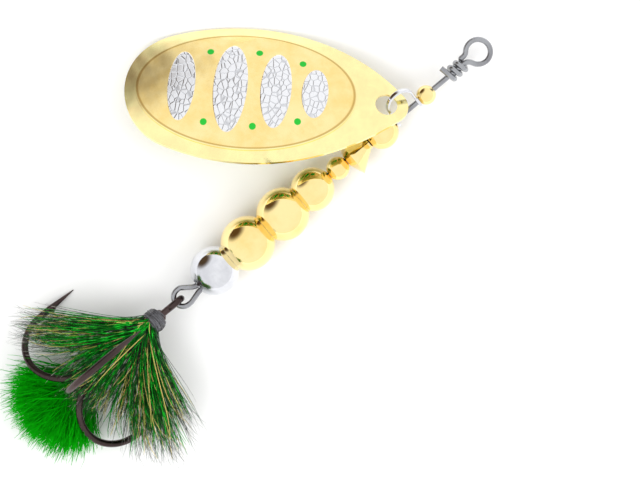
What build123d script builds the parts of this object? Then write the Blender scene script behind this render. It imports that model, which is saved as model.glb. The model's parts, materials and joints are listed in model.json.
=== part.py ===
"""Inline spinner: a wire with a line eye and wraps, beads, a clevis and blade, and a dressed treble.

The origin is the middle of the line eye. +X runs out of the eye along the line and the wire lies on
the X axis. The lure lies on its side on a flat surface at Z = -rest_height. Sizes are in millimetres.
"""

import os
from math import asin, atan2, cos, degrees, radians, sin, sqrt

from build123d import *

# Wire
wire_d = 0.80
shaft_clearance = 0.07
axial_gap = 0.03
eye_bend_r = 1.80
eye_entry_r = 1.20
eye_return_r = 1.00
eye_to_wraps = 2.50
wrap_gap = 0.04
wrap_pitch = 1.05
wrap_turns = 2.75
wrap_tag_length = 1.60
free_play = 2.70
loop_r = 1.35
loop_reach = 2.70
loop_bend_r = 1.60
loop_tag_length = 2.40

# Beads, from the line eye towards the hook
top_bead_d = 2.86
bearing_bead_d = 5.00
spacer_bead_d = 3.42
medium_bead_d = 6.44
front_bead_d = 7.80
rear_bead_d = 8.00
tail_bead_d = 7.20
bore_land_r = 0.60
seat_land_r = 2.20
tail_mouth_clearance = 0.21
tail_mouth_depth = 3.00

# Cone
cone_d = 6.18
cone_end_r = 0.94
cone_short_length = 0.88
cone_long_length = 3.00
cone_neck_length = 0.27

# Clevis
clevis_span = 4.60
clevis_height = 4.62
clevis_strip = 0.40
clevis_width = 0.76
clevis_ear_r = 1.15
clevis_turn = 40.0

# Blade
blade_length = 41.2
blade_width = 21.6
blade_thickness = 0.50
blade_depth = 2.40
blade_hole_d = 3.20
blade_tip_to_hole = 3.20
blade_tip_r = 2.40
blade_end_r = 9.30
plateau_rise = 0.35
plateau_length = 31.6
plateau_width = 18.0
plateau_from_hole = 4.60
blade_yaw = 135.5
blade_pitch = 1.0
blade_roll = 24.0
leg_height = 2.80
leg_from_hole_along = -0.30
leg_from_hole_across = 0.75

# Treble hook
hook_wire_d = 1.00
hook_eye_r = 1.25
hook_spread_r = 0.60
hook_shank = 15.2
hook_bend_r = 6.10
hook_point_length = 6.30
hook_taper = 4.40
hook_tip_r = 0.06
barb_length = 1.50
barb_height = 0.50
barb_thickness = 0.34
double_top = 2.90
braze_r = 0.74
braze_start = 3.00
eye_link_gap = 0.10
treble_tilt = 14.5

# Dressing
thread_start = 2.80
thread_length = 2.40
thread_r = 1.75
dressing_bore_r = 1.20
skirt_start = 5.25
skirt_length = 8.75
skirt_root_r = 1.80
skirt_half_width = 11.0
skirt_half_height = 4.60
flash_share = 0.62
layer_gap = 0.05
yarn_r = 5.80
yarn_half_height = 2.65
yarn_past_bend = 2.90
yarn_side = 2.40
yarn_root_r = 0.45
yarn_neck_r = 1.60

# Worked-out sizes
wire_r = wire_d / 2
bore_r = wire_r + shaft_clearance
tail_mouth_r = 1.5 * wire_d + wrap_gap + tail_mouth_clearance
rest_height = rear_bead_d / 2
hook_wire_r = hook_wire_d / 2
shaft_axis = Axis((0, 0, 0), (1, 0, 0))

os.makedirs("parts", exist_ok=True)


def half_length(ball_d, land_r):
    """Distance from a ball's middle to its flat land of the given radius."""
    return sqrt((ball_d / 2) ** 2 - land_r**2)


def round_bar(route, radius):
    """Round bar of one radius along a line or a chain of lines and arcs."""
    with BuildSketch(Plane(origin=route @ 0, z_dir=route % 0)) as section:
        Circle(radius)
    sweep(sections=section.sketch, path=route)


def ball_bead(right_x, ball_d, right_land_r, left_land_r):
    """Ball on the shaft with a flat land at each end and a running bore, its right end at right_x."""
    right_half = half_length(ball_d, right_land_r)
    left_half = half_length(ball_d, left_land_r)
    middle = right_x - right_half
    with BuildPart() as bead:
        with BuildSketch(Plane.XZ):
            with BuildLine():
                Polyline(
                    (middle - left_half, left_land_r),
                    (middle - left_half, bore_r),
                    (right_x, bore_r),
                    (right_x, right_land_r),
                )
                ThreePointArc(
                    (right_x, right_land_r),
                    (middle, ball_d / 2),
                    (middle - left_half, left_land_r),
                )
            make_face()
        revolve(axis=shaft_axis)
    return bead, middle - left_half


# Places along the shaft, from the eye down to the hook loop
wraps_x = -eye_to_wraps
wrap_r = wire_d + wrap_gap
wraps_end = wraps_x - wrap_turns * wrap_pitch
top_bead_x = wraps_end - wire_r - free_play

top_bead, top_bead_end = ball_bead(top_bead_x, top_bead_d, bore_land_r, bore_land_r)
clevis_x = top_bead_end - axial_gap
bearing_x = clevis_x - clevis_span - axial_gap
bearing_bead, bearing_end = ball_bead(bearing_x, bearing_bead_d, bore_land_r, bore_land_r)
cone_x = bearing_end - axial_gap
cone_end = cone_x - cone_neck_length - cone_long_length - cone_short_length
spacer_bead, spacer_end = ball_bead(cone_end - axial_gap, spacer_bead_d, bore_land_r, bore_land_r)
medium_bead, medium_end = ball_bead(spacer_end - axial_gap, medium_bead_d, bore_land_r, seat_land_r)
front_bead, front_end = ball_bead(medium_end - axial_gap, front_bead_d, seat_land_r, seat_land_r)
rear_bead, rear_end = ball_bead(front_end - axial_gap, rear_bead_d, seat_land_r, seat_land_r)
tail_bead, tail_end = ball_bead(rear_end - axial_gap, tail_bead_d, seat_land_r, tail_mouth_r)

# The tail bead's wide mouth takes the doubled wire of the hook loop.
with BuildPart() as tail_mouth:
    add(tail_bead.part)
    with BuildSketch(Plane.YZ.offset(tail_end)):
        Circle(tail_mouth_r)
    extrude(amount=tail_mouth_depth, mode=Mode.SUBTRACT)
tail_bead = tail_mouth

# Double cone between the spacer bead and the bearing bead
with BuildPart() as cone:
    with BuildSketch(Plane.XZ):
        with BuildLine():
            Polyline(
                (cone_x, bore_r),
                (cone_x, cone_end_r),
                (cone_x - cone_neck_length, cone_end_r),
                (cone_x - cone_neck_length - cone_long_length, cone_d / 2),
                (cone_end, cone_end_r),
                (cone_end, bore_r),
                close=True,
            )
        make_face()
    revolve(axis=shaft_axis)

# Wire shaft: hook loop, straight shaft, line eye, wraps and tag, all one wire
loop_x = tail_end - loop_reach
loop_bottom = loop_x - loop_r
bottom_r = loop_r * 0.98
corner_r = loop_bend_r / 2
tag_y = -(wire_d + wrap_gap)
neck_x = tail_end - wire_r
eye_turn = degrees(asin(sqrt(1 - (eye_entry_r / (eye_entry_r + eye_bend_r)) ** 2)))
eye_start_x = -(eye_entry_r + eye_bend_r) * sin(radians(eye_turn))
return_turn = degrees(asin((wrap_r + eye_return_r) / (eye_bend_r + eye_return_r)))
coil = Helix(wrap_pitch, wrap_turns * wrap_pitch, wrap_r, (wraps_x, 0, 0), (-1, 0, 0))
coil = coil.rotate(shaft_axis, 90)
with BuildPart() as shaft_wire:
    with BuildLine() as upper_route:
        Line((tail_end + loop_tag_length, 0), (eye_start_x, 0))
        JernArc((eye_start_x, 0), (1, 0), eye_entry_r, -eye_turn)
        JernArc(upper_route.line @ 1, upper_route.line % 1, eye_bend_r, 270 + eye_turn - return_turn)
        JernArc(upper_route.line @ 1, upper_route.line % 1, eye_return_r, return_turn - 90)
        Line(upper_route.line @ 1, (wraps_x, wrap_r))
        add(coil)
        Line(coil @ 1, (coil @ 1) + (coil % 1) * wrap_tag_length)
    with BuildSketch(Plane(origin=(tail_end + loop_tag_length, 0, 0), z_dir=(1, 0, 0))):
        Circle(wire_r)
    sweep(path=upper_route.line, transition=Transition.ROUND)
    with BuildLine() as lower_route:
        FilletPolyline(
            (tail_end + loop_tag_length, tag_y),
            (neck_x, tag_y),
            (loop_x + loop_r / 3, -loop_r),
            (loop_bottom, -loop_r),
            (loop_bottom, loop_r),
            (loop_x + loop_r / 3, loop_r),
            (neck_x, 0),
            (tail_end + loop_tag_length, 0),
            radius=[loop_bend_r, corner_r, bottom_r, bottom_r, corner_r, loop_bend_r],
        )
    round_bar(lower_route.line, wire_r)

# Clevis: a folded strip with two round ears on the shaft and a hoop that carries the blade
turn = radians(clevis_turn)
hoop_dir = Vector(0, sin(turn), cos(turn))
hoop_plane = Plane(origin=(0, 0, 0), x_dir=(1, 0, 0), z_dir=(0, -cos(turn), sin(turn)))
hoop_r = (clevis_span - clevis_strip) / 2
front_ear_x = clevis_x - clevis_strip / 2
rear_ear_x = clevis_x - clevis_span + clevis_strip / 2
hoop_base = clevis_height - clevis_strip / 2 - hoop_r
with BuildPart() as clevis:
    with BuildLine(hoop_plane) as hoop:
        Line((rear_ear_x, 0), (rear_ear_x, hoop_base))
        ThreePointArc(
            (rear_ear_x, hoop_base),
            (rear_ear_x + hoop_r, hoop_base + hoop_r),
            (front_ear_x, hoop_base),
        )
        Line((front_ear_x, hoop_base), (front_ear_x, 0))
    with BuildSketch(Plane(origin=hoop.line @ 0, x_dir=(1, 0, 0), z_dir=hoop_dir)) as strip:
        RectangleRounded(clevis_strip, clevis_width, clevis_strip * 0.45)
    sweep(sections=strip.sketch, path=hoop.line)
    for ear_x in (rear_ear_x, front_ear_x):
        with BuildSketch(Plane.YZ.offset(ear_x - clevis_strip / 2)) as ear:
            Circle(clevis_ear_r)
        extrude(amount=clevis_strip)
    with BuildSketch(Plane.YZ.offset(clevis_x - clevis_span)) as shaft_hole:
        Circle(bore_r)
    extrude(amount=clevis_span, mode=Mode.SUBTRACT)

# Blade: a thin dished egg shape with a raised oval plateau, hung on the clevis by its hole
yaw = radians(blade_yaw)
pitch = radians(blade_pitch)
roll = radians(blade_roll)
along = Vector(cos(yaw) * cos(pitch), sin(yaw) * cos(pitch), -sin(pitch))
level_across = Vector(-sin(yaw), cos(yaw), 0)
level_normal = along.cross(level_across)
across = level_across * cos(roll) + level_normal * sin(roll)
normal = along.cross(across)
half_blade = blade_length / 2
blade_lengthwise_r = (half_blade**2 + blade_depth**2) / (2 * blade_depth)
blade_crosswise_r = ((blade_width / 2) ** 2 + blade_depth**2) / (2 * blade_depth)
hole_from_middle = half_blade - blade_tip_to_hole
hole_height = blade_depth - (
    blade_lengthwise_r - sqrt(blade_lengthwise_r**2 - hole_from_middle**2)
)
leg_point = Vector(rear_ear_x, 0, 0) + hoop_dir * leg_height
hole_point = leg_point - along * leg_from_hole_along - across * leg_from_hole_across
blade_origin = hole_point + along * hole_from_middle - normal * hole_height
blade_plane = Plane(origin=blade_origin, x_dir=along, z_dir=normal)


def dished_band(top):
    """Dished sheet whose upper face peaks at the given height over the blade's rim plane."""
    pivot_z = blade_depth - blade_lengthwise_r
    swing = degrees(half_blade * 1.15 / blade_lengthwise_r)
    start = Vector(0, 0, -pivot_z).rotate(Axis.Y, -swing) + Vector(0, 0, pivot_z)
    reach = blade_width * 0.6
    drop = blade_crosswise_r - sqrt(blade_crosswise_r**2 - reach**2)
    bottom = top - blade_thickness
    with BuildPart() as band:
        facing = Vector(1, 0, 0).rotate(Axis.Y, -swing)
        with BuildSketch(Plane(origin=start, x_dir=(0, 1, 0), z_dir=facing)):
            with BuildLine():
                ThreePointArc((-reach, top - drop), (0, top), (reach, top - drop))
                Line((reach, top - drop), (reach, bottom - drop))
                ThreePointArc((reach, bottom - drop), (0, bottom), (-reach, bottom - drop))
                Line((-reach, bottom - drop), (-reach, top - drop))
            make_face()
        revolve(axis=Axis((0, 0, pivot_z), (0, 1, 0)), revolution_arc=2 * swing)
    return band.part


def flank_radius(length, width, tip_r, end_r):
    """Radius of the flank arcs that join a tip arc and an end arc and reach the full width."""
    half = width / 2
    reach = length - tip_r - end_r
    tip_gap = half - tip_r
    end_gap = half - end_r
    slope = end_gap - tip_gap
    offset = reach**2 + tip_gap * (tip_r + half) - end_gap * (end_r + half)
    b = 2 * offset * slope - 4 * reach**2 * end_gap
    c = offset**2 + 4 * reach**2 * end_gap * (end_r + half)
    return (-b - sqrt(b**2 - 4 * slope**2 * c)) / (2 * slope**2) / 2


def blade_outline():
    """Egg outline of the blade: tip arc, two flank arcs and an end arc, all tangent."""
    flank_r = flank_radius(blade_length, blade_width, blade_tip_r, blade_end_r)
    tip_x = -half_blade + blade_tip_r
    end_x = half_blade - blade_end_r
    drop = flank_r - blade_width / 2
    flank_x = tip_x + sqrt((flank_r - blade_tip_r) ** 2 - drop**2)
    tip_turn = degrees(atan2(flank_x - tip_x, drop))
    end_turn = degrees(atan2(end_x - flank_x, drop))
    CenterArc((tip_x, 0), blade_tip_r, 90 + tip_turn, 180 - 2 * tip_turn)
    CenterArc((flank_x, drop), flank_r, 270 - tip_turn, tip_turn + end_turn)
    CenterArc((end_x, 0), blade_end_r, -90 + end_turn, 180 - 2 * end_turn)
    CenterArc((flank_x, -drop), flank_r, 90 - end_turn, tip_turn + end_turn)


plateau_start = -half_blade + blade_tip_to_hole + plateau_from_hole
plateau_middle = (plateau_start + plateau_length / 2, 0)
sheet_rise = blade_thickness / 2
step_lap = blade_thickness / 2
cut_plane = Plane.XY.offset(-blade_depth)
cut_depth = 3 * blade_depth
with BuildPart() as plateau:
    with BuildSketch(cut_plane):
        with Locations(plateau_middle):
            Ellipse(plateau_length / 2 + step_lap, plateau_width / 2 + step_lap)
    extrude(amount=cut_depth)
    add(dished_band(blade_depth + sheet_rise + plateau_rise), mode=Mode.INTERSECT)

with BuildPart() as flat_blade:
    with BuildSketch(cut_plane):
        with BuildLine():
            blade_outline()
        make_face()
    extrude(amount=cut_depth)
    add(dished_band(blade_depth + sheet_rise), mode=Mode.INTERSECT)
    with BuildSketch(cut_plane):
        with Locations(plateau_middle):
            Ellipse(plateau_length / 2, plateau_width / 2)
    extrude(amount=cut_depth, mode=Mode.SUBTRACT)
    add(plateau.part)
    with BuildSketch(cut_plane):
        with Locations((-hole_from_middle, 0)):
            Circle(blade_hole_d / 2)
    extrude(amount=cut_depth, mode=Mode.SUBTRACT)

with BuildPart() as blade:
    add(flat_blade.part.fix().moved(blade_plane.location))

# Treble hook, built along its own axis from its eye, which links through the wire's hook loop
tilt = radians(treble_tilt)
treble_dir = Vector(-cos(tilt), 0, sin(tilt))
treble_up = Vector(sin(tilt), 0, cos(tilt))
link_reach = wire_r + hook_wire_r + eye_link_gap
treble_eye = Vector(loop_bottom, 0, 0) + treble_dir * (hook_eye_r - link_reach)
treble_plane = Plane(origin=treble_eye, x_dir=treble_up, z_dir=treble_dir)


def hook_plane(turn_deg):
    """Plane of one hook: its X runs out from the shank and its Y runs down the shank to the bend."""
    outward = treble_up.rotate(Axis((0, 0, 0), treble_dir), turn_deg)
    return Plane(origin=treble_eye, x_dir=outward, z_dir=outward.cross(treble_dir))


def hook_arm(turn_deg, top):
    """Shank, bend, tapered point and barb of one hook, added to the open part."""
    plane = hook_plane(turn_deg)
    point_x = hook_spread_r + 2 * hook_bend_r
    spear_y = hook_shank - hook_point_length + hook_taper
    with BuildLine(plane) as wire:
        Line((hook_spread_r, top), (hook_spread_r, hook_shank))
        ThreePointArc(
            (hook_spread_r, hook_shank),
            (hook_spread_r + hook_bend_r, hook_shank + hook_bend_r),
            (point_x, hook_shank),
        )
        Line((point_x, hook_shank), (point_x, spear_y))
    round_bar(wire.line, hook_wire_r)
    with BuildSketch(plane) as spear:
        with BuildLine():
            Polyline(
                (point_x, spear_y),
                (point_x + hook_wire_r, spear_y),
                (point_x + hook_tip_r, spear_y - hook_taper),
                (point_x, spear_y - hook_taper),
                close=True,
            )
        make_face()
    spear_axis = Axis(plane.from_local_coords((point_x, 0, 0)), treble_dir)
    revolve(profiles=spear.sketch.faces(), axis=spear_axis)
    inner = point_x - hook_wire_r
    with BuildSketch(plane) as barb:
        with BuildLine():
            Polyline(
                (inner + barb_height, spear_y - barb_length),
                (inner - barb_height, spear_y + barb_length * 0.2),
                (inner + barb_height, spear_y + barb_length * 0.2),
                close=True,
            )
        make_face()
    extrude(to_extrude=barb.sketch, amount=barb_thickness / 2, both=True)


with BuildPart() as eyed_hook:
    hook_arm(0, hook_eye_r * 0.8)
    with BuildSketch(treble_plane):
        with Locations((hook_eye_r, 0)):
            Circle(hook_wire_r)
    revolve(axis=Axis(treble_eye, treble_up.cross(treble_dir)))

with BuildPart() as double_hook:
    hook_arm(120, double_top)
    hook_arm(-120, double_top)
    shank_ends = [
        hook_plane(angle).from_local_coords((hook_spread_r, double_top, 0)) for angle in (120, -120)
    ]
    turn_middle = (shank_ends[0] + shank_ends[1]) / 2
    turn_r = (shank_ends[0] - shank_ends[1]).length / 2
    with BuildLine() as turn_over:
        ThreePointArc(
            shank_ends[0],
            turn_middle - treble_dir * turn_r - treble_up * hook_wire_r * 0.3,
            shank_ends[1],
        )
    round_bar(turn_over.line, hook_wire_r)

with BuildPart() as hook_braze:
    with BuildSketch(treble_plane.offset(braze_start)):
        Circle(braze_r)
        with PolarLocations(hook_spread_r, 3):
            Circle(hook_wire_r, mode=Mode.SUBTRACT)
    extrude(amount=hook_shank - braze_start)

# Dressing: a thread head, two layers of fibre skirt and a yarn tail
with BuildPart() as thread_wrap:
    with BuildSketch(treble_plane.offset(thread_start)):
        Circle(dressing_bore_r + wire_r / 2)
    with BuildSketch(treble_plane.offset(thread_start + thread_length / 2)):
        Circle(thread_r)
    with BuildSketch(treble_plane.offset(thread_start + thread_length)):
        Circle(dressing_bore_r + wire_r)
    loft()
    with BuildSketch(treble_plane.offset(thread_start)):
        Circle(dressing_bore_r)
    extrude(amount=thread_length, mode=Mode.SUBTRACT)


def fibre_bell(share):
    """Closed solid that a skirt of fibres fills, flared and flattened, at a share of the full flare."""
    root_r = dressing_bore_r + (skirt_root_r - dressing_bore_r) * share
    with BuildPart() as bell:
        with BuildSketch(treble_plane.offset(skirt_start)):
            Circle(root_r)
        with BuildSketch(treble_plane.offset(skirt_start + skirt_length)):
            Ellipse(skirt_half_height * share, skirt_half_width * share)
        loft()
    return bell.part


with BuildPart() as hackle_skirt:
    add(fibre_bell(1.0))
    add(fibre_bell(flash_share), mode=Mode.SUBTRACT)

with BuildPart() as flash_skirt:
    add(fibre_bell(flash_share - layer_gap))
    with BuildSketch(treble_plane.offset(skirt_start)):
        Circle(dressing_bore_r)
    extrude(amount=skirt_length, mode=Mode.SUBTRACT)

bend_x = treble_plane.from_local_coords((0, 0, hook_shank + hook_bend_r)).X
yarn_middle = Vector(bend_x - yarn_past_bend, yarn_side, yarn_half_height - rest_height)
yarn_root = treble_plane.from_local_coords((-dressing_bore_r - yarn_root_r, 0, hook_shank))
strand = yarn_middle - yarn_root
yarn_edge_x = yarn_r - yarn_half_height
with BuildPart() as yarn_tail:
    with BuildSketch(Plane(origin=yarn_middle, x_dir=(1, 0, 0), z_dir=(0, -1, 0))):
        with BuildLine():
            Polyline(
                (yarn_edge_x, yarn_half_height),
                (0, yarn_half_height),
                (0, -yarn_half_height),
                (yarn_edge_x, -yarn_half_height),
            )
            ThreePointArc((yarn_edge_x, -yarn_half_height), (yarn_r, 0), (yarn_edge_x, yarn_half_height))
        make_face()
    revolve(axis=Axis(yarn_middle, (0, 0, 1)))
    with BuildSketch(Plane(origin=yarn_root, z_dir=strand)):
        Circle(yarn_root_r)
    with BuildSketch(Plane(origin=yarn_root + strand * 0.6, z_dir=strand)):
        Circle(yarn_neck_r)
    loft()

nodes = {
    "shaft_wire": shaft_wire,
    "top_bead": top_bead,
    "clevis": clevis,
    "blade": blade,
    "bearing_bead": bearing_bead,
    "cone": cone,
    "spacer_bead": spacer_bead,
    "medium_bead": medium_bead,
    "front_body_bead": front_bead,
    "rear_body_bead": rear_bead,
    "tail_bead": tail_bead,
    "eyed_hook": eyed_hook,
    "double_hook": double_hook,
    "hook_braze": hook_braze,
    "thread_wrap": thread_wrap,
    "hackle_skirt": hackle_skirt,
    "flash_skirt": flash_skirt,
    "yarn_tail": yarn_tail,
}
for label, piece in nodes.items():
    piece.part.label = label
    export_step(piece.part, f"parts/{label}.step")
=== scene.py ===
"""Looks of the inline spinner: polished metals, a painted blade, a dressed treble and a pale studio stage."""

import json
import random
from math import cos, pi, radians, sin, tau

import bmesh
import bpy
import numpy as np
from mathutils import Matrix, Vector


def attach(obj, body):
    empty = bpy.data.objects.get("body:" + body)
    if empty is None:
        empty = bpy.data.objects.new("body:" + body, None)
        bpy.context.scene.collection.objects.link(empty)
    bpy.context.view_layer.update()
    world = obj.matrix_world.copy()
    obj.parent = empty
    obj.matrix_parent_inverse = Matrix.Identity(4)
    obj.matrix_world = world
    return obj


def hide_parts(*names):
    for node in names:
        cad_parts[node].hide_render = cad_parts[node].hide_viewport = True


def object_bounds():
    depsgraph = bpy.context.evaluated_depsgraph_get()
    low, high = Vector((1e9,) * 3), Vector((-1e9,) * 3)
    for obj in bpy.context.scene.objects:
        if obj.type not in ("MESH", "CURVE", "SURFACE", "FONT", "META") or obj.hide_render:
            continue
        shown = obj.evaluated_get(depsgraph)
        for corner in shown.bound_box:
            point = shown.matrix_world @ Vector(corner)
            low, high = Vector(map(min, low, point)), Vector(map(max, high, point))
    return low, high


bl_info = {
    "name": "Inline spinner looks",
    "version": (1, 0, 0),
    "blender": (4, 5, 0),
    "location": "View3D > Sidebar > Spinner",
    "description": "Finishes the inline spinner's metals, blade, hooks and dressing, and sets its stage",
    "category": "Object",
}

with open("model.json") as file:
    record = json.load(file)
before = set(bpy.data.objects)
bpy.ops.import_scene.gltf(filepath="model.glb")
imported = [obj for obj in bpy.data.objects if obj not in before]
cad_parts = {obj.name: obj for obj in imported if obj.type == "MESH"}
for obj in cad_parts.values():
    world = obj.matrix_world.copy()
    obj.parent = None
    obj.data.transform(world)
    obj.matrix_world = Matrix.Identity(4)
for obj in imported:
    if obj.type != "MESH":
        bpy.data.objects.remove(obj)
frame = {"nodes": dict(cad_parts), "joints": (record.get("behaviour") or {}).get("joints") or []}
CAD_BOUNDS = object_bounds()

MM = 0.001
JOINTS = {joint["name"]: joint for joint in frame["joints"]}
REST_Z = CAD_BOUNDS[0][2]

# The treble's own directions: out of its eye down the shank, and up from the surface
TREBLE_TILT = radians(14.5)
TREBLE_DIR = Vector((-cos(TREBLE_TILT), 0, sin(TREBLE_TILT)))
TREBLE_UP = Vector((sin(TREBLE_TILT), 0, cos(TREBLE_TILT)))
TREBLE_EYE = Vector(JOINTS["treble_swing"]["pos_m"]) + TREBLE_DIR * 0.25 * MM
SIDE = Vector((0, 1, 0))

# The blade's own directions, from its hanging hole towards its wide end
BLADE_YAW = radians(135.5)
BLADE_PITCH = radians(1.0)
BLADE_ROLL = radians(24.0)
ALONG = Vector((cos(BLADE_YAW) * cos(BLADE_PITCH), sin(BLADE_YAW) * cos(BLADE_PITCH), -sin(BLADE_PITCH)))
LEVEL_ACROSS = Vector((-sin(BLADE_YAW), cos(BLADE_YAW), 0))
ACROSS = LEVEL_ACROSS * cos(BLADE_ROLL) + ALONG.cross(LEVEL_ACROSS) * sin(BLADE_ROLL)
NORMAL = ALONG.cross(ACROSS)
BLADE_HOLE = Vector(JOINTS["blade_swing"]["pos_m"]) + ALONG * 0.30 * MM - ACROSS * 0.75 * MM

# The view: straight down, turned so that the shaft runs up to the right
VIEW_TURN = radians(-39.73)
VIEW_RIGHT = Vector((cos(VIEW_TURN), sin(VIEW_TURN), 0))
VIEW_UP = Vector((-sin(VIEW_TURN), cos(VIEW_TURN), 0))
VIEW_MIDDLE = Vector((-35.1, -6.4, 0)) * MM


# ---------------------------------------------------------------- shader helpers

# Places of the colour sockets on a Mix node, which also has sockets for numbers and vectors
MIX_LOW, MIX_HIGH, MIX_RESULT = 6, 7, 2


class Sock:
    """A shader output that can be added, multiplied and compared like a number."""

    def __init__(self, tree, socket):
        self.tree = tree
        self.socket = socket

    def node(self, kind, *values, **settings):
        """A new node fed with these values, in the order of its inputs."""
        made = self.tree.nodes.new(kind)
        for name, value in settings.items():
            setattr(made, name, value)
        for place, value in enumerate(values):
            if isinstance(value, Sock):
                self.tree.links.new(value.socket, made.inputs[place])
            elif value is not None:
                made.inputs[place].default_value = value
        return made

    def math(self, operation, *values):
        made = self.node("ShaderNodeMath", *values, operation=operation)
        return Sock(self.tree, made.outputs[0])

    def __add__(self, other):
        return self.math("ADD", self, other)

    def __sub__(self, other):
        return self.math("SUBTRACT", self, other)

    def __mul__(self, other):
        return self.math("MULTIPLY", self, other)

    def __truediv__(self, other):
        return self.math("DIVIDE", self, other)

    def squared(self):
        return self.math("MULTIPLY", self, self)

    def absolute(self):
        return self.math("ABSOLUTE", self)

    def sine(self):
        return self.math("SINE", self)

    def most(self, other):
        return self.math("MAXIMUM", self, other)

    def fade(self, low, high, to_low=0.0, to_high=1.0):
        """Goes smoothly from to_low at low to to_high at high."""
        ends = (low, high, to_low, to_high)
        made = self.node("ShaderNodeMapRange", self, *ends, interpolation_type="SMOOTHSTEP")
        return Sock(self.tree, made.outputs[0])

    def mix(self, low, high):
        """Colour low where this is 0 and high where it is 1."""
        made = self.node("ShaderNodeMix", data_type="RGBA")
        self.tree.links.new(self.socket, made.inputs[0])
        for place, value in ((MIX_LOW, low), (MIX_HIGH, high)):
            if isinstance(value, Sock):
                self.tree.links.new(value.socket, made.inputs[place])
            else:
                made.inputs[place].default_value = (*value[:3], 1)
        return Sock(self.tree, made.outputs[MIX_RESULT])

    def parts(self):
        """The X, Y and Z of a vector, or the red, green and blue of a colour."""
        made = self.node("ShaderNodeSeparateXYZ", self)
        return [Sock(self.tree, out) for out in made.outputs]

    def noise(self, scale, detail=2.0, rough=0.5):
        made = self.node("ShaderNodeTexNoise", self)
        made.inputs["Scale"].default_value = scale
        made.inputs["Detail"].default_value = detail
        made.inputs["Roughness"].default_value = rough
        return Sock(self.tree, made.outputs[0])

    def cells(self, scale, feature="F1"):
        made = self.node("ShaderNodeTexVoronoi", self, feature=feature)
        made.inputs["Scale"].default_value = scale
        return Sock(self.tree, made.outputs[0])

    def mapped(self, place=(0, 0, 0), turn=(0, 0, 0), scale=(1, 1, 1), kind="POINT"):
        made = self.node("ShaderNodeMapping", self, place, turn, scale, vector_type=kind)
        return Sock(self.tree, made.outputs[0])

    def bump(self, distance, strength=1.0):
        made = self.node("ShaderNodeBump")
        made.inputs["Strength"].default_value = strength
        made.inputs["Distance"].default_value = distance
        self.tree.links.new(self.socket, made.inputs["Height"])
        return Sock(self.tree, made.outputs[0])


RUB_DEPTH = 0.002 * MM


def material(name, **uniform):
    """A new material: the material, its shader, and the object coordinates to paint with."""
    made = bpy.data.materials.new(name)
    made.use_nodes = True
    shader = made.node_tree.nodes["Principled BSDF"]
    for key, value in uniform.items():
        shader.inputs[key.replace("_", " ")].default_value = value
    coords = made.node_tree.nodes.new("ShaderNodeTexCoord")
    return made, shader, Sock(made.node_tree, coords.outputs["Object"])


def feed(shader, **varying):
    """Links each varying value to the shader input of that name."""
    for key, value in varying.items():
        value.tree.links.new(value.socket, shader.inputs[key.replace("_", " ")])


def polished(name, light, dark, rough=0.05, wear=0.06):
    """Polished metal with faint stains and fine rub marks, whose roughness varies by wear."""
    made, shader, place = material(name, Metallic=1.0)
    stain = place.noise(180, detail=4, rough=0.6).fade(0.35, 0.75)
    rub = place.noise(2600)
    feed(
        shader,
        Base_Color=stain.mix(light, dark),
        Roughness=place.noise(420, detail=3).fade(0.3, 0.8, rough, rough + wear),
        Normal=rub.bump(RUB_DEPTH, strength=0.25),
    )
    return made


def paint(nodes, made):
    """Makes this the only material of these CAD nodes."""
    for node in nodes:
        mesh = frame["nodes"][node].data
        mesh.materials.clear()
        mesh.materials.append(made)


# ---------------------------------------------------------------- settings


def colour_setting(name, description, default):
    """A colour that the panel shows."""
    return bpy.props.FloatVectorProperty(
        name=name, description=description, subtype="COLOR", default=default
    )


def count_setting(name, description, default):
    """A number of strands that the panel shows."""
    return bpy.props.IntProperty(name=name, description=description, default=default)


class SpinnerMetals(bpy.types.PropertyGroup):
    """Colours of the metal parts."""

    gold: colour_setting("Gold", "Colour of the gold plating", (1.0, 0.82, 0.40))
    gold_deep: colour_setting("Deep gold", "Colour of the plating's stains", (0.95, 0.71, 0.27))
    silver: colour_setting("Silver", "Colour of the silver plating", (0.86, 0.87, 0.90))
    steel: colour_setting("Steel", "Colour of the shaft wire", (0.40, 0.41, 0.43))
    hook: colour_setting("Hook", "Colour of the dark hook finish", (0.085, 0.06, 0.058))


class SpinnerBlade(bpy.types.PropertyGroup):
    """Spots on the blade."""

    spot_green: colour_setting("Spot green", "Colour of the lacquered spots", (0.01, 0.50, 0.03))
    dot_radius: bpy.props.FloatProperty(
        name="Dot radius", description="Radius of the small dots", default=0.5 * MM, unit="LENGTH"
    )


class SpinnerDressing(bpy.types.PropertyGroup):
    """Fibres tied to the treble."""

    hackle_count: count_setting("Hackle strands", "Number of dark hairs", 1500)
    flash_count: count_setting("Flash strands", "Number of film strands", 620)
    yarn_count: count_setting("Yarn fibres", "Number of yarn fibres", 3900)
    yarn_green: colour_setting("Yarn green", "Colour of the yarn tail", (0.0, 0.42, 0.0))


# ---------------------------------------------------------------- fibres

STRAND_RINGS = 8
TIP_TAPER = 0.8

# A direction that no strand runs along, to set each strand's cross-section from
OFF_STRAND = (0.31, 0.17, 0.94)


def strand_template():
    """Unit strand along Z, modelled once: a three-sided rod cut into rings, as points and faces."""
    bpy.ops.object.select_all(action="DESELECT")
    bpy.ops.mesh.primitive_cylinder_add(vertices=3, radius=1, depth=1, location=(0, 0, 0.5))
    rod = bpy.context.object
    bpy.ops.object.mode_set(mode="EDIT")
    mesh = bmesh.from_edit_mesh(rod.data)
    for edge in mesh.edges:
        edge.select_set(abs(edge.verts[0].co.z - edge.verts[1].co.z) > 0.5)
    bmesh.update_edit_mesh(rod.data)
    bpy.ops.mesh.subdivide(number_cuts=STRAND_RINGS - 1)
    bpy.ops.object.mode_set(mode="OBJECT")
    points = np.array([v.co[:] for v in rod.data.vertices])
    points[:, 2] += 0.5 - points[:, 2].mean()
    faces = [tuple(face.vertices) for face in rod.data.polygons]
    bpy.data.objects.remove(rod)
    return points, faces


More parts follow.
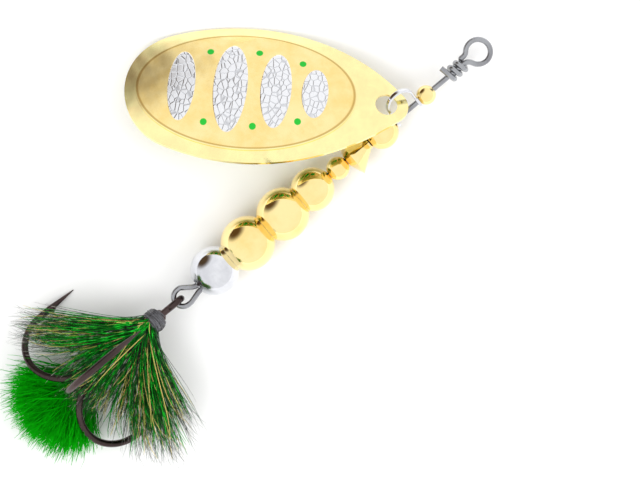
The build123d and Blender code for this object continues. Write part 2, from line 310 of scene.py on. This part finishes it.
def fibres(name, routes, widths, shades):
    """One mesh of many strands: each copy of the template tapers along its own route, a function of 0..1."""
    template, faces = strand_template()
    levels = np.unique(np.round(template[:, 2], 5))
    ring = np.searchsorted(levels, template[:, 2] - 1e-4)
    count = len(template)
    points, polygons, ends, tints = [], [], [], []
    for number, (route, width, shade) in enumerate(zip(routes, widths, shades)):
        line = np.array([route(t) for t in levels])
        forward = np.gradient(line, axis=0)
        forward /= np.linalg.norm(forward, axis=1, keepdims=True)
        across = np.cross(forward, OFF_STRAND)
        across /= np.linalg.norm(across, axis=1, keepdims=True)
        upright = np.cross(across, forward)
        taper = width * (1 - TIP_TAPER * levels[ring] ** 3)
        points.append(
            line[ring]
            + across[ring] * (template[:, 0] * taper)[:, None]
            + upright[ring] * (template[:, 1] * taper)[:, None]
        )
        polygons += [tuple(v + number * count for v in face) for face in faces]
        ends.append(levels[ring])
        tints.append(np.full(count, shade))
    mesh = bpy.data.meshes.new(name)
    mesh.from_pydata(np.concatenate(points).tolist(), [], polygons)
    for title, values in (("reach", ends), ("tint", tints)):
        mesh.attributes.new(title, "FLOAT", "POINT").data.foreach_set(
            "value", np.concatenate(values).astype(np.float32)
        )
    mesh.validate()
    piece = bpy.data.objects.new(name, mesh)
    bpy.context.collection.objects.link(piece)
    for polygon in mesh.polygons:
        polygon.use_smooth = True
    return piece


def attribute(place, name):
    """A piece's own per-point value."""
    made = place.node("ShaderNodeAttribute", attribute_name=name)
    return Sock(place.tree, made.outputs["Fac"])


# Where the skirt's fibres leave the head: ranges out from the shank and along it, in millimetres
SKIRT_ROOT_R = (0.8, 1.5)
SKIRT_ROOT_ALONG = (4.3, 5.4)
SKIRT_SAG = 1.2 * MM
SKIRT_RIPPLE = 0.25 * MM
SKIRT_FLOOR_GAP = 0.12 * MM


def fan_route(chance, fan, length, lift):
    """Route of a skirt fibre: out of the thread head along the shank, then fanned to the side."""
    turn = chance.uniform(0, tau)
    root_r = chance.uniform(*SKIRT_ROOT_R) * MM
    root = TREBLE_EYE + TREBLE_DIR * chance.uniform(*SKIRT_ROOT_ALONG) * MM
    root = root + (TREBLE_UP * cos(turn) + SIDE * sin(turn)) * root_r
    goal = TREBLE_DIR * cos(fan) + SIDE * sin(fan) + Vector((0, 0, lift))
    goal.normalize()
    bow = chance.uniform(-0.10, 0.10)
    sway = Vector((-goal.y, goal.x, 0)) * bow * length
    wave = chance.uniform(0, tau)

    def route(t):
        ease = t * t * (3 - 2 * t) * 0.45 + t * 0.55
        spread = root + TREBLE_DIR * length * 0.16 * sin(t * 1.6) * (1 - t)
        point = spread + goal * length * ease + sway * sin(t * 3.1) * t
        point.z += SKIRT_RIPPLE * sin(wave + 5 * t) * t - SKIRT_SAG * t * t
        point.z = max(point.z, REST_Z + SKIRT_FLOOR_GAP)
        return point[:]

    return route


THREAD_COUNT = 260
THREAD_R = 0.11 * MM
THREAD_WRAP = radians(150)

# The tied head, in millimetres: its start and length along the shank, and its least and added radius
HEAD_START = 2.75
HEAD_LENGTH = 2.45
HEAD_R = 1.10
HEAD_SWELL = 0.55


def thread_route(chance):
    """Route of a stretch of tying thread, wound round the head a little askew."""
    level = chance.uniform(0, 1)
    start = chance.uniform(0, tau)
    slant = chance.gauss(0, 0.25) * MM
    head_r = (HEAD_R + HEAD_SWELL * sin(level * pi) ** 0.6 + chance.uniform(-0.05, 0.10)) * MM

    def route(t):
        angle = start + THREAD_WRAP * t
        along = (HEAD_START + HEAD_LENGTH * level) * MM + slant * (t - 0.5)
        radius = head_r * (1 - 0.10 * (2 * t - 1) ** 2)
        outward = TREBLE_UP * cos(angle) + SIDE * sin(angle)
        return (TREBLE_EYE + TREBLE_DIR * along + outward * radius)[:]

    return route


# Fans of the skirt: middle angle from the shank and spread in degrees, longest fibre in millimetres,
# and share of the fibres
SKIRT_FANS = (
    (36, 4.5, 20.5, 0.25),
    (21, 5, 15.5, 0.05),
    (1, 7, 17.5, 0.19),
    (-13, 4, 17.0, 0.11),
    (-31, 6, 18.0, 0.07),
    (-48, 5, 20.5, 0.14),
    (-60, 4, 21.5, 0.13),
    (-71, 4, 17.5, 0.06),
)
FAN_LIMITS = (radians(-82), radians(48))
LIFT_SPREAD = 0.17


def skirt_routes(chance, count, reach, lift):
    """Routes of one layer of the skirt, whose fibres reach this share of each fan's longest."""
    routes = []
    for middle, spread, longest, share in SKIRT_FANS:
        for _ in range(round(count * share)):
            fan = radians(chance.gauss(middle, spread))
            fan = min(max(fan, FAN_LIMITS[0]), FAN_LIMITS[1])
            length = longest * reach * chance.uniform(0.62, 1.0) ** 0.8 * MM
            routes.append(fan_route(chance, fan, length, chance.gauss(lift, LIFT_SPREAD)))
    return routes


# ---------------------------------------------------------------- operators

SILVER_STAIN = (0.62, 0.63, 0.67)
STEEL_STAIN = (0.26, 0.26, 0.28)


class SpinnerPlating(bpy.types.Operator):
    """Plates the beads, cone and clevis in gold or silver, and gives the wire its drawn steel"""

    bl_idname = "spinner.metals"
    bl_label = "Finish beads, cone, clevis and wire"

    def execute(self, context):
        colours = context.scene.spinner_metals
        gold = polished("gold_plate", colours.gold, colours.gold_deep)
        silver = polished("silver_plate", colours.silver, SILVER_STAIN)
        steel = polished("drawn_wire", colours.steel, STEEL_STAIN, rough=0.18, wear=0.12)
        paint(("top_bead", "bearing_bead", "cone", "spacer_bead", "medium_bead"), gold)
        paint(("front_body_bead", "rear_body_bead"), gold)
        paint(("tail_bead", "clevis"), silver)
        paint(("shaft_wire",), steel)
        return {"FINISHED"}


# Sizes on the blade, in millimetres, with distances along it counted from its hanging hole.
# Spots: distance, half width along, half width across. Dots: distance, and how far out on each side.
BLADE_SPOTS = ((10.35, 1.89, 3.83), (16.0, 2.2, 5.87), (22.6, 2.44, 6.9), (29.7, 1.97, 5.5))
BLADE_DOTS = ((12.5, 4.64), (18.9, 5.9), (26.0, 5.65))
PLATEAU_MIDDLE = 20.4
PLATEAU_HALF_LENGTH = 15.8
PLATEAU_HALF_WIDTH = 9.0
# Painted shade: brown colour of the dark ring along the plateau's step
PLATEAU_STEP_SHADE = (0.50, 0.30, 0.06)
# Painted highlight: how much lighter the flange's gold is painted than the plateau's
FLANGE_HIGHLIGHT_GAIN = 1.12
# Painted shade: grey of the embossed scales' grooves
SCALE_GROOVE_SHADE = (0.60, 0.61, 0.64)


class SpinnerBladePaint(bpy.types.Operator):
    """Gives the blade its gold plating, silver scale-embossed spots on top and green spots underneath"""

    bl_idname = "spinner.blade"
    bl_label = "Finish blade"

    def execute(self, context):
        colours = context.scene.spinner_metals
        blade = context.scene.spinner_blade
        made, shader, place = material("blade_finish")
        turn = Matrix((ALONG, ACROSS, NORMAL)).transposed().to_euler()
        local = place.mapped(BLADE_HOLE, turn, (MM, MM, MM), "TEXTURE")
        u, v, _ = local.parts()
        coords = place.node("ShaderNodeTexCoord")
        dot = place.node("ShaderNodeVectorMath", None, NORMAL, operation="DOT_PRODUCT")
        place.tree.links.new(coords.outputs["Normal"], dot.inputs[0])
        top = Sock(place.tree, dot.outputs["Value"]).fade(-0.05, 0.05)
        spots = None
        for middle, half_along, half_across in BLADE_SPOTS:
            spot = (((u - middle) / half_along).squared() + (v / half_across).squared()).fade(1.05, 0.97)
            spots = spot if spots is None else spots.most(spot)
        dots = None
        size = blade.dot_radius / MM
        for middle, side in BLADE_DOTS:
            away = (u - middle).squared() + (v.absolute() - side).squared()
            spot = away.fade((size * 1.1) ** 2, (size * 0.9) ** 2)
            dots = spot if dots is None else dots.most(spot)
        silver_spots = spots * top
        green = dots.most(spots - silver_spots)
        scales = local.mapped(scale=(1, 0.75, 1)).cells(1.25, "DISTANCE_TO_EDGE").fade(0.0, 0.12)
        stain = local.noise(0.35, detail=4, rough=0.6).fade(0.3, 0.75)
        oval = ((u - PLATEAU_MIDDLE) / PLATEAU_HALF_LENGTH).squared() + (v / PLATEAU_HALF_WIDTH).squared()
        # Painted highlight: the flange is a brightened copy of the same gold, mottled with the random stain
        flange_highlight_and_stain = stain.mix([min(1, c * FLANGE_HIGHLIGHT_GAIN) for c in colours.gold], colours.gold)
        # Painted shade: a dark ring painted along the plateau's step
        line = oval.fade(0.955, 0.99) * oval.fade(1.035, 1.0)
        plate = oval.fade(1.02, 0.98).mix(flange_highlight_and_stain, stain.mix(colours.gold, colours.gold_deep))
        plate = (line * 0.75).mix(plate, PLATEAU_STEP_SHADE)
        # Painted shade: the embossed scales' grooves are painted darker grey than the silver
        silver = scales.mix(SCALE_GROOVE_SHADE, colours.silver)
        waves = local.noise(0.28, detail=1, rough=0.4) * 0.18 + local.noise(2.2) * 0.004
        emboss = silver_spots * (scales * 0.05 + 0.06)
        feed(
            shader,
            Base_Color=green.mix(silver_spots.mix(plate, silver), blade.spot_green),
            Metallic=green.fade(0, 1, 1.0, 0.35),
            Roughness=local.noise(0.8, detail=3).fade(0.3, 0.8, 0.10, 0.17) + silver_spots * 0.10,
            Normal=(waves + emboss).bump(MM, strength=0.6),
        )
        paint(("blade",), made)
        return {"FINISHED"}


class SpinnerHooks(bpy.types.Operator):
    """Gives the hooks their dark bronze finish and the head its wound thread"""

    bl_idname = "spinner.hooks"
    bl_label = "Finish hooks and thread"

    def execute(self, context):
        colour = context.scene.spinner_metals.hook
        dark = polished("hook_bronze", colour, [c * 0.55 for c in colour], rough=0.20, wear=0.14)
        paint(("eyed_hook", "double_hook", "hook_braze"), dark)
        chance = random.Random(3)
        routes = [thread_route(chance) for _ in range(THREAD_COUNT)]
        shades = [chance.random() for _ in routes]
        piece = fibres("thread_turns", routes, [THREAD_R] * len(routes), shades)
        made, shader, place = material("tying_thread", Coat_Roughness=0.15, Coat_Weight=0.6)
        feed(
            shader,
            Base_Color=attribute(place, "tint").mix((0.008, 0.008, 0.009), (0.16, 0.16, 0.18)),
            Roughness=place.noise(1500).fade(0.3, 0.7, 0.25, 0.5),
        )
        piece.data.materials.append(made)
        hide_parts("thread_wrap")
        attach(piece, "treble")
        return {"FINISHED"}


class SpinnerHackle(bpy.types.Operator):
    """Ties the layer of black and barred hairs round the shank"""

    bl_idname = "spinner.hackle"
    bl_label = "Tie hackle skirt"

    def execute(self, context):
        chance = random.Random(11)
        routes = skirt_routes(chance, context.scene.spinner_dressing.hackle_count, 1.0, -0.02)
        widths = [chance.uniform(0.028, 0.055) * MM for _ in routes]
        shades = [chance.random() for _ in routes]
        piece = fibres("hackle_hairs", routes, widths, shades)
        made, shader, place = material("hackle_hair", Specular_IOR_Level=0.4, Roughness=0.38)
        reach = attribute(place, "reach")
        tint = attribute(place, "tint")
        bars = (reach * 46 + tint * 40).sine()
        barred = tint.fade(0.74, 0.76) * bars.fade(-0.1, 0.3) * reach.fade(0.25, 0.5)
        green = tint.fade(0.42, 0.40) * reach.fade(0.95, 0.6)
        hair = green.mix((0.006, 0.006, 0.006), (0.0, 0.16, 0.012))
        feed(shader, Base_Color=barred.mix(hair, (0.52, 0.50, 0.44)))
        piece.data.materials.append(made)
        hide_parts("hackle_skirt")
        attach(piece, "treble")
        return {"FINISHED"}


class SpinnerFlash(bpy.types.Operator):
    """Ties the layer of metallic green and gold strands under the hackle"""

    bl_idname = "spinner.flash"
    bl_label = "Tie flash strands"

    def execute(self, context):
        chance = random.Random(23)
        routes = skirt_routes(chance, context.scene.spinner_dressing.flash_count, 0.92, 0.10)
        widths = [chance.uniform(0.07, 0.14) * MM for _ in routes]
        shades = [chance.random() for _ in routes]
        piece = fibres("flash_strands", routes, widths, shades)
        made, shader, place = material("flash_film", Metallic=0.8)
        tint = attribute(place, "tint")
        gold = tint.fade(0.70, 0.72)
        glint = place.noise(900).fade(0.4, 0.65)
        green = glint.mix((0.0, 0.20, 0.008), (0.01, 0.62, 0.03))
        feed(
            shader,
            Base_Color=gold.mix(green, (0.80, 0.66, 0.20)),
            Roughness=glint.fade(0, 1, 0.32, 0.16),
        )
        piece.data.materials.append(made)
        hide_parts("flash_skirt")
        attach(piece, "treble")
        return {"FINISHED"}


# The yarn's knot behind the bends, and how far the fibres' roots spread round it, in millimetres
YARN_KNOT = (-75.4, -0.2, -0.6)
YARN_SPREAD = (0.5, 1.1, 0.5)
YARN_REACH = 10.9
YARN_FLOOR_GAP = 0.1 * MM


def yarn_route(chance):
    """Route of a crimped yarn fibre, out of the knot behind the bend and into the tuft."""
    root = Vector(YARN_KNOT) * MM + Vector([chance.gauss(0, spread) * MM for spread in YARN_SPREAD])
    fan = radians(chance.uniform(-58, 50) + chance.gauss(0, 6))
    rise = chance.gauss(-0.04, 0.20)
    reach = YARN_REACH - 2.0 * fan**2
    length = reach * chance.uniform(0.45, 1.0) ** 0.6 * MM
    goal = Vector((-cos(fan), sin(fan), rise))
    phases = [chance.uniform(0, tau) for _ in range(2)]
    crimp = chance.uniform(0.12, 0.38) * MM
    turns = chance.uniform(6, 13)

    def route(t):
        point = root + goal * length * t
        point.x += crimp * sin(phases[0] + turns * t) * t
        point.y += crimp * sin(phases[1] + turns * t * 1.2) * t
        point.z += crimp * cos(phases[0] + turns * t * 0.9) * t
        point.z = max(point.z, REST_Z + YARN_FLOOR_GAP)
        return point[:]

    return route


class SpinnerYarn(bpy.types.Operator):
    """Ties the fluffy green yarn tail behind the bends"""

    bl_idname = "spinner.yarn"
    bl_label = "Tie yarn tail"

    def execute(self, context):
        dressing = context.scene.spinner_dressing
        chance = random.Random(5)
        routes = [yarn_route(chance) for _ in range(dressing.yarn_count)]
        widths = [chance.uniform(0.06, 0.11) * MM for _ in routes]
        shades = [chance.random() for _ in routes]
        piece = fibres("yarn_fibres", routes, widths, shades)
        green = Vector(dressing.yarn_green)
        made, shader, place = material("yarn_fibre", Roughness=0.9, Specular_IOR_Level=0.1)
        # Painted shade and random tone: each fibre gets a random tone, and all are painted darker towards
        # their roots at the knot and lighter at the tips
        shade = attribute(place, "tint") * 0.6 + attribute(place, "reach") * 0.4
        feed(shader, Base_Color=shade.mix(green * 0.55, green * 1.25))
        piece.data.materials.append(made)
        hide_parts("yarn_tail")
        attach(piece, "treble")
        return {"FINISHED"}


def from_view(right, up, height):
    """A point given by how far right and up it lies in the view and how high it is."""
    return VIEW_MIDDLE + VIEW_RIGHT * right + VIEW_UP * up + Vector((0, 0, height))


# Dark parts of the studio that the metals mirror, a far corner and the camera overhead: the direction as
# right, up and height in the view, then how closely a ray must point there for the dark to start and be full
DARK_CORNERS = ((-0.68, 0.62, 0.20, 0.74, 0.97), (0.0, 0.0, 1.0, 0.9990, 0.9996))
DARK = (0.10, 0.06, 0.03)
STUDIO_STRENGTH = 1.08
FLOOR_SIZE = 3
FLOOR_GREYS = ((0.93, 0.93, 0.93), (0.95, 0.95, 0.95))
CAMERA_HEIGHT = 0.5
CAMERA_LENS = 194

# Lights: name, place as right, up and height in the view, size, power
LIGHTS = (
    ("key_light", (-0.30, -0.30, 0.60), 0.40, 1.8),
    ("fill_light", (0.45, -0.10, 0.45), 0.30, 0.8),
)


class SpinnerStage(bpy.types.Operator):
    """Sets the pale floor, the soft light and the camera"""

    bl_idname = "spinner.stage"
    bl_label = "Set stage, light and camera"

    def execute(self, context):
        scene = context.scene
        pale, shader, place = material("pale_floor", Roughness=0.9, Specular_IOR_Level=0.1)
        feed(shader, Base_Color=place.noise(3).fade(0, 1).mix(*FLOOR_GREYS))
        bpy.ops.object.select_all(action="DESELECT")
        bpy.ops.mesh.primitive_plane_add(size=FLOOR_SIZE, location=(0, 0, REST_Z))
        floor = context.object
        floor.name = "floor"
        floor.data.materials.append(pale)
        world = bpy.data.worlds.new("studio")
        world.use_nodes = True
        background = world.node_tree.nodes["Background"]
        coords = world.node_tree.nodes.new("ShaderNodeTexCoord")
        looking = Sock(world.node_tree, coords.outputs["Generated"])
        shade = None
        for right, up, height, start, full in DARK_CORNERS:
            corner = (VIEW_RIGHT * right + VIEW_UP * up + Vector((0, 0, height))).normalized()
            made = looking.node("ShaderNodeVectorMath", looking, corner, operation="DOT_PRODUCT")
            dark = Sock(world.node_tree, made.outputs["Value"]).fade(start, full)
            shade = dark if shade is None else shade.most(dark)
        feed(background, Color=shade.mix((1, 1, 1), DARK))
        background.inputs["Strength"].default_value = STUDIO_STRENGTH
        scene.world = world
        scene.view_settings.view_transform = "Standard"
        for name, place_in_view, size, power in LIGHTS:
            spot = from_view(*place_in_view)
            bpy.ops.object.light_add(type="AREA", location=spot)
            light = context.object
            light.name = name
            light.data.shape = "DISK"
            light.data.size = size
            light.visible_glossy = False
            light.data.energy = power
            light.rotation_euler = (spot - VIEW_MIDDLE).to_track_quat("Z", "Y").to_euler()
        bpy.ops.object.camera_add(location=from_view(0, 0, CAMERA_HEIGHT), rotation=(0, 0, VIEW_TURN))
        camera = context.object
        camera.data.lens = CAMERA_LENS
        camera.data.sensor_width = 36
        camera.data.clip_start = 0.01
        scene.camera = camera
        return {"FINISHED"}


OPERATORS = (
    SpinnerPlating,
    SpinnerBladePaint,
    SpinnerHooks,
    SpinnerHackle,
    SpinnerFlash,
    SpinnerYarn,
    SpinnerStage,
)


class SpinnerPanel(bpy.types.Panel):
    """The spinner's settings and pieces"""

    bl_idname = "VIEW3D_PT_spinner"
    bl_label = "Inline spinner"
    bl_space_type = "VIEW_3D"
    bl_region_type = "UI"
    bl_category = "Spinner"

    def draw(self, context):
        scene = context.scene
        for group in (scene.spinner_metals, scene.spinner_blade, scene.spinner_dressing):
            for name in group.bl_rna.properties.keys():
                if name not in ("rna_type", "name"):
                    self.layout.prop(group, name)
        for operator in OPERATORS:
            self.layout.operator(operator.bl_idname)


SETTINGS = (SpinnerMetals, SpinnerBlade, SpinnerDressing)


def register():
    for kind in (*SETTINGS, *OPERATORS, SpinnerPanel):
        bpy.utils.register_class(kind)
    bpy.types.Scene.spinner_metals = bpy.props.PointerProperty(type=SpinnerMetals)
    bpy.types.Scene.spinner_blade = bpy.props.PointerProperty(type=SpinnerBlade)
    bpy.types.Scene.spinner_dressing = bpy.props.PointerProperty(type=SpinnerDressing)


def unregister():
    del bpy.types.Scene.spinner_dressing
    del bpy.types.Scene.spinner_blade
    del bpy.types.Scene.spinner_metals
    for kind in (SpinnerPanel, *reversed(OPERATORS), *reversed(SETTINGS)):
        bpy.utils.unregister_class(kind)


def main():
    register()
    for operator in OPERATORS:
        group, name = operator.bl_idname.split(".")
        getattr(getattr(bpy.ops, group), name)()


if __name__ == "__main__":
    main()
